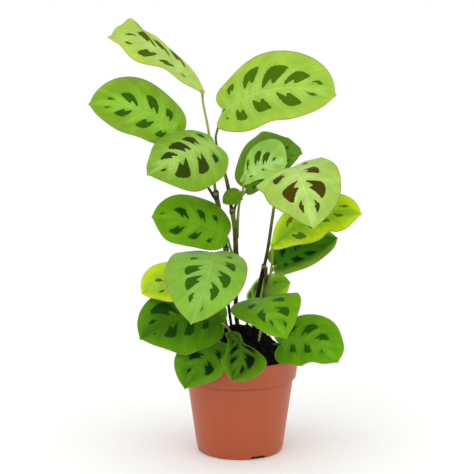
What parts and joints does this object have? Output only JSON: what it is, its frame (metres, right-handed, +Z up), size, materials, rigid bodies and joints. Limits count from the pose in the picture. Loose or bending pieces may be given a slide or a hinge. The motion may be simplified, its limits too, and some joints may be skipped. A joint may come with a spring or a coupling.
{
  "type": "potted prayer plant",
  "caption": "Prayer plant with oval, dark-blotched leaves on jointed shoots and slender stalks, growing from a mound of soil in a tapered plastic pot with a rim band.",
  "frame": {"origin": "centre of the pot's flat underside", "axes": "+Z up along the pot's axis, +X to the plant's right as seen from its front, -Y towards its front"},
  "size_m": [0.2671, 0.2345, 0.4334],
  "materials": {
    "pot": "terracotta-coloured moulded plastic, matt with a soft sheen",
    "soil": "moist dark peat potting soil",
    "shoot": "dark purple-brown stem skin",
    "stalk": "olive-green leaf stalk",
    "leaf_pale": "pale green satin leaf with dark blotches",
    "leaf_bright": "bright green satin leaf with dark blotches",
    "leaf_deep": "deep green satin leaf with darker blotches",
    "leaf_yellow": "yellow-green satin young leaf"
  },
  "bodies": {
    "root": {"pot": "pot", "soil": "soil", "shoot_left": "shoot", "shoot_centre": "shoot", "shoot_right": "shoot", "leaf_top_left": "leaf_bright", "leaf_upper_left": "leaf_bright", "leaf_top_right": "leaf_bright", "leaf_centre_high": "leaf_pale", "leaf_middle_left": "leaf_deep", "leaf_centre_front": "leaf_pale", "stalk_centre_front": "stalk", "leaf_yellow_left": "leaf_yellow", "stalk_yellow_left": "stalk", "leaf_lower_left": "leaf_deep", "stalk_lower_left": "stalk", "leaf_rim_left": "leaf_deep", "stalk_rim_left": "stalk", "leaf_rim_centre": "leaf_deep", "stalk_rim_centre": "stalk", "leaf_right_front": "leaf_bright", "stalk_right_front": "stalk", "leaf_lower_right": "leaf_deep", "stalk_lower_right": "stalk", "leaf_right_high": "leaf_pale", "leaf_right_young": "leaf_yellow", "leaf_right_under": "leaf_deep", "leaf_right_back": "leaf_deep", "stalk_right_back": "stalk", "leaf_behind": "leaf_deep", "leaf_young_upright": "leaf_pale", "leaf_bract": "leaf_bright", "leaf_back_left": "leaf_deep", "stalk_back_left": "stalk", "leaf_back_centre": "leaf_bright", "stalk_back_centre": "stalk", "leaf_back_right": "leaf_deep", "stalk_back_right": "stalk"}
  },
  "joints": []
}
